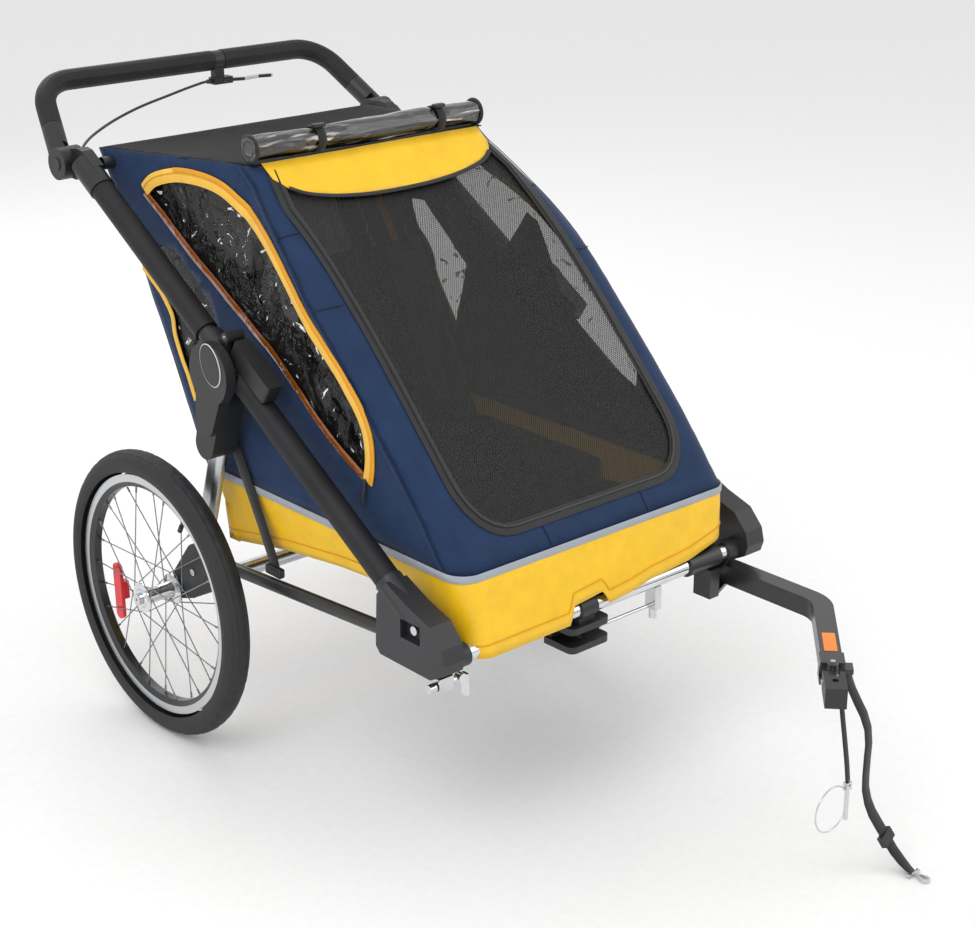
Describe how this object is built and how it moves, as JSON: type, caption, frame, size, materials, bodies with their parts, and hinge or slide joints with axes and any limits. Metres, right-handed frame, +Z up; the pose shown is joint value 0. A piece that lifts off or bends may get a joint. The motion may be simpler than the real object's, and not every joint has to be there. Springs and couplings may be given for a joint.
{
  "type": "child bicycle trailer",
  "caption": "Two-wheeled folding child bicycle trailer with a fabric cabin, windows, harness seat, push handlebar with brake, side tow arm with hitch, and quick-release fittings.",
  "frame": {"origin": "on the ground, under the middle of the trailer's overall box (measured without the free safety strap and pin lanyard)", "axes": "+Z up, +Y to the rear (travel is towards -Y), +X to the trailer's left; wheel axle along X at y = 0.350, z = 0.250"},
  "size_m": [0.814, 1.592, 1.0688],
  "materials": {
    "rear_cross_tube": "satin silver anodised tube",
    "axle_knuckles": "fine-textured moulded black",
    "leg_tubes": "satin silver oval tube",
    "leg_housings": "fine-textured moulded black",
    "lower_tubes": "satin black powder coat",
    "lower_grips": "closed-cell foam, fine-grained",
    "front_brackets": "dark grey textured casting",
    "frame_bolts": "zinc-plated",
    "front_cross_tube": "polished silver tube",
    "side_rails": "satin black",
    "centre_bracket": "fine-textured moulded black",
    "tow_socket": "satin black",
    "lower_tub": "coated woven yellow",
    "seat_base": "black woven padded",
    "seat_back": "black woven padded",
    "harness": "black woven webbing",
    "side_straps": "black woven webbing",
    "side_panels": "navy woven",
    "side_windows": "clear flexible vinyl",
    "front_panel": "navy woven",
    "mesh_window": "open black mesh",
    "top_panel": "black woven",
    "rear_panel": "navy woven",
    "rain_cover_roll": "rolled smoky clear vinyl",
    "axles_and_skewers": "polished steel",
    "upper_tubes": "satin black powder coat",
    "upper_grips": "closed-cell foam, fine-grained",
    "rear_top_bar": "satin black powder coat",
    "handle_brackets": "fine-textured moulded black",
    "fold_tongues": "fine-textured moulded black",
    "handlebar_tube": "satin black powder coat",
    "handlebar_foam": "closed-cell foam, fine-grained",
    "handle_hubs": "fine-textured moulded black",
    "brake_perch": "moulded black",
    "brake_cable": "smooth black outer",
    "brake_lever": "satin silver",
    "hub_button_right": "moulded dark grey",
    "hub_button_left": "moulded dark grey",
    "fold_handle_right": "moulded black",
    "fold_handle_left": "moulded black",
    "tow_arm": "black powder-coated square tube",
    "hitch_link": "zinc-plated",
    "hitch_block": "moulded black",
    "safety_strap": "black woven webbing",
    "strap_slider": "moulded black",
    "snap_hook": "nickel-plated",
    "pin_lanyard": "black woven webbing",
    "lock_pin": "polished steel",
    "skewer_lever_right": "polished",
    "skewer_lever_left": "polished",
    "tyre_right": "moulded tread, satin sidewall",
    "rim_right": "machined silver",
    "spokes_right": "stainless",
    "hub_right": "polished",
    "reflector_right": "moulded red lens",
    "tyre_left": "moulded tread, satin sidewall",
    "rim_left": "machined silver",
    "spokes_left": "stainless",
    "hub_left": "polished",
    "reflector_left": "moulded red lens"
  },
  "bodies": {
    "chassis": {"rear_cross_tube": "rear_cross_tube", "axle_knuckles": "axle_knuckles", "leg_tubes": "leg_tubes", "leg_housings": "leg_housings", "lower_tubes": "lower_tubes", "lower_grips": "lower_grips", "front_brackets": "front_brackets", "frame_bolts": "frame_bolts", "front_cross_tube": "front_cross_tube", "side_rails": "side_rails", "centre_bracket": "centre_bracket", "tow_socket": "tow_socket", "lower_tub": "lower_tub", "seat_base": "seat_base", "seat_back": "seat_back", "harness": "harness", "side_straps": "side_straps", "side_panels": "side_panels", "side_windows": "side_windows", "front_panel": "front_panel", "mesh_window": "mesh_window", "top_panel": "top_panel", "rear_panel": "rear_panel", "rain_cover_roll": "rain_cover_roll", "axles_and_skewers": "axles_and_skewers"},
    "upper_frame": {"upper_tubes": "upper_tubes", "upper_grips": "upper_grips", "rear_top_bar": "rear_top_bar", "handle_brackets": "handle_brackets", "fold_tongues": "fold_tongues"},
    "handlebar": {"handlebar_tube": "handlebar_tube", "handlebar_foam": "handlebar_foam", "handle_hubs": "handle_hubs", "brake_perch": "brake_perch", "brake_cable": "brake_cable"},
    "brake_lever": {"brake_lever": "brake_lever"},
    "hub_button_right": {"hub_button_right": "hub_button_right"},
    "hub_button_left": {"hub_button_left": "hub_button_left"},
    "fold_handle_right": {"fold_handle_right": "fold_handle_right"},
    "fold_handle_left": {"fold_handle_left": "fold_handle_left"},
    "tow_arm": {"tow_arm": "tow_arm", "safety_strap": "safety_strap", "strap_slider": "strap_slider", "snap_hook": "snap_hook"},
    "hitch_link": {"hitch_link": "hitch_link"},
    "hitch": {"hitch_block": "hitch_block", "pin_lanyard": "pin_lanyard", "lock_pin": "lock_pin"},
    "skewer_lever_right": {"skewer_lever_right": "skewer_lever_right"},
    "skewer_lever_left": {"skewer_lever_left": "skewer_lever_left"},
    "wheel_right": {"tyre_right": "tyre_right", "rim_right": "rim_right", "spokes_right": "spokes_right", "hub_right": "hub_right", "reflector_right": "reflector_right"},
    "wheel_left": {"tyre_left": "tyre_left", "rim_left": "rim_left", "spokes_left": "spokes_left", "hub_left": "hub_left", "reflector_left": "reflector_left"}
  },
  "joints": [
    {"name": "wheel_spin_right", "type": "hinge", "parent": "chassis", "child": "wheel_right", "pos_m": [-0.365, 0.35, 0.25], "axis": [1, 0, 0], "continuous": true},
    {"name": "wheel_spin_left", "type": "hinge", "parent": "chassis", "child": "wheel_left", "pos_m": [0.365, 0.35, 0.25], "axis": [1, 0, 0], "continuous": true},
    {"name": "frame_fold", "type": "hinge", "parent": "chassis", "child": "upper_frame", "pos_m": [0, 0.14902, 0.74058], "axis": [1, 0, 0], "range_deg": [0, 165], "deforming": ["seat_back", "harness", "side_panels", "side_windows", "front_panel", "mesh_window", "top_panel", "rear_panel", "rain_cover_roll"]},
    {"name": "handlebar_tilt", "type": "hinge", "parent": "upper_frame", "child": "handlebar", "pos_m": [0, 0.60011, 0.94192], "axis": [1, 0, 0], "range_deg": [-70, 55]},
    {"name": "brake_lever_pull", "type": "hinge", "parent": "handlebar", "child": "brake_lever", "pos_m": [0.08, 0.73011, 1.01492], "axis": [0, 0, 1], "range_deg": [0, 22], "stiffness_Nm_per_rad": 0.6, "springref_deg": -5.73},
    {"name": "hub_button_push_right", "type": "slide", "parent": "handlebar", "child": "hub_button_right", "axis": [1, 0, 0], "range_m": [0, 0.005], "stiffness_N_per_m": 800},
    {"name": "hub_button_push_left", "type": "slide", "parent": "handlebar", "child": "hub_button_left", "axis": [-1, 0, 0], "range_m": [0, 0.005], "stiffness_N_per_m": 800},
    {"name": "fold_handle_pull_right", "type": "slide", "parent": "chassis", "child": "fold_handle_right", "axis": [0, -0.5329, 0.8462], "range_m": [0, 0.01], "stiffness_N_per_m": 500},
    {"name": "fold_handle_pull_left", "type": "slide", "parent": "chassis", "child": "fold_handle_left", "axis": [0, -0.5329, 0.8462], "range_m": [0, 0.01], "stiffness_N_per_m": 500},
    {"name": "tow_arm_swing", "type": "hinge", "parent": "chassis", "child": "tow_arm", "pos_m": [0.307, -0.31, 0.317], "axis": [0, 0, 1], "range_deg": [-32, 0]},
    {"name": "hitch_yaw", "type": "hinge", "parent": "tow_arm", "child": "hitch_link", "pos_m": [0.13879, -0.68586, 0.317], "axis": [0, 0, 1], "range_deg": [-28, 28]},
    {"name": "hitch_pitch", "type": "hinge", "parent": "hitch_link", "child": "hitch", "pos_m": [0.11977, -0.70359, 0.317], "axis": [0.682, -0.7314, 0], "range_deg": [-40, 40]},
    {"name": "skewer_lever_swing_right", "type": "hinge", "parent": "chassis", "child": "skewer_lever_right", "pos_m": [-0.288, -0.34, 0.326], "axis": [0, -1, 0], "range_deg": [0, 75]},
    {"name": "skewer_lever_swing_left", "type": "hinge", "parent": "chassis", "child": "skewer_lever_left", "pos_m": [0.37, -0.305, 0.356], "axis": [0, -1, 0], "range_deg": [0, 75]}
  ]
}
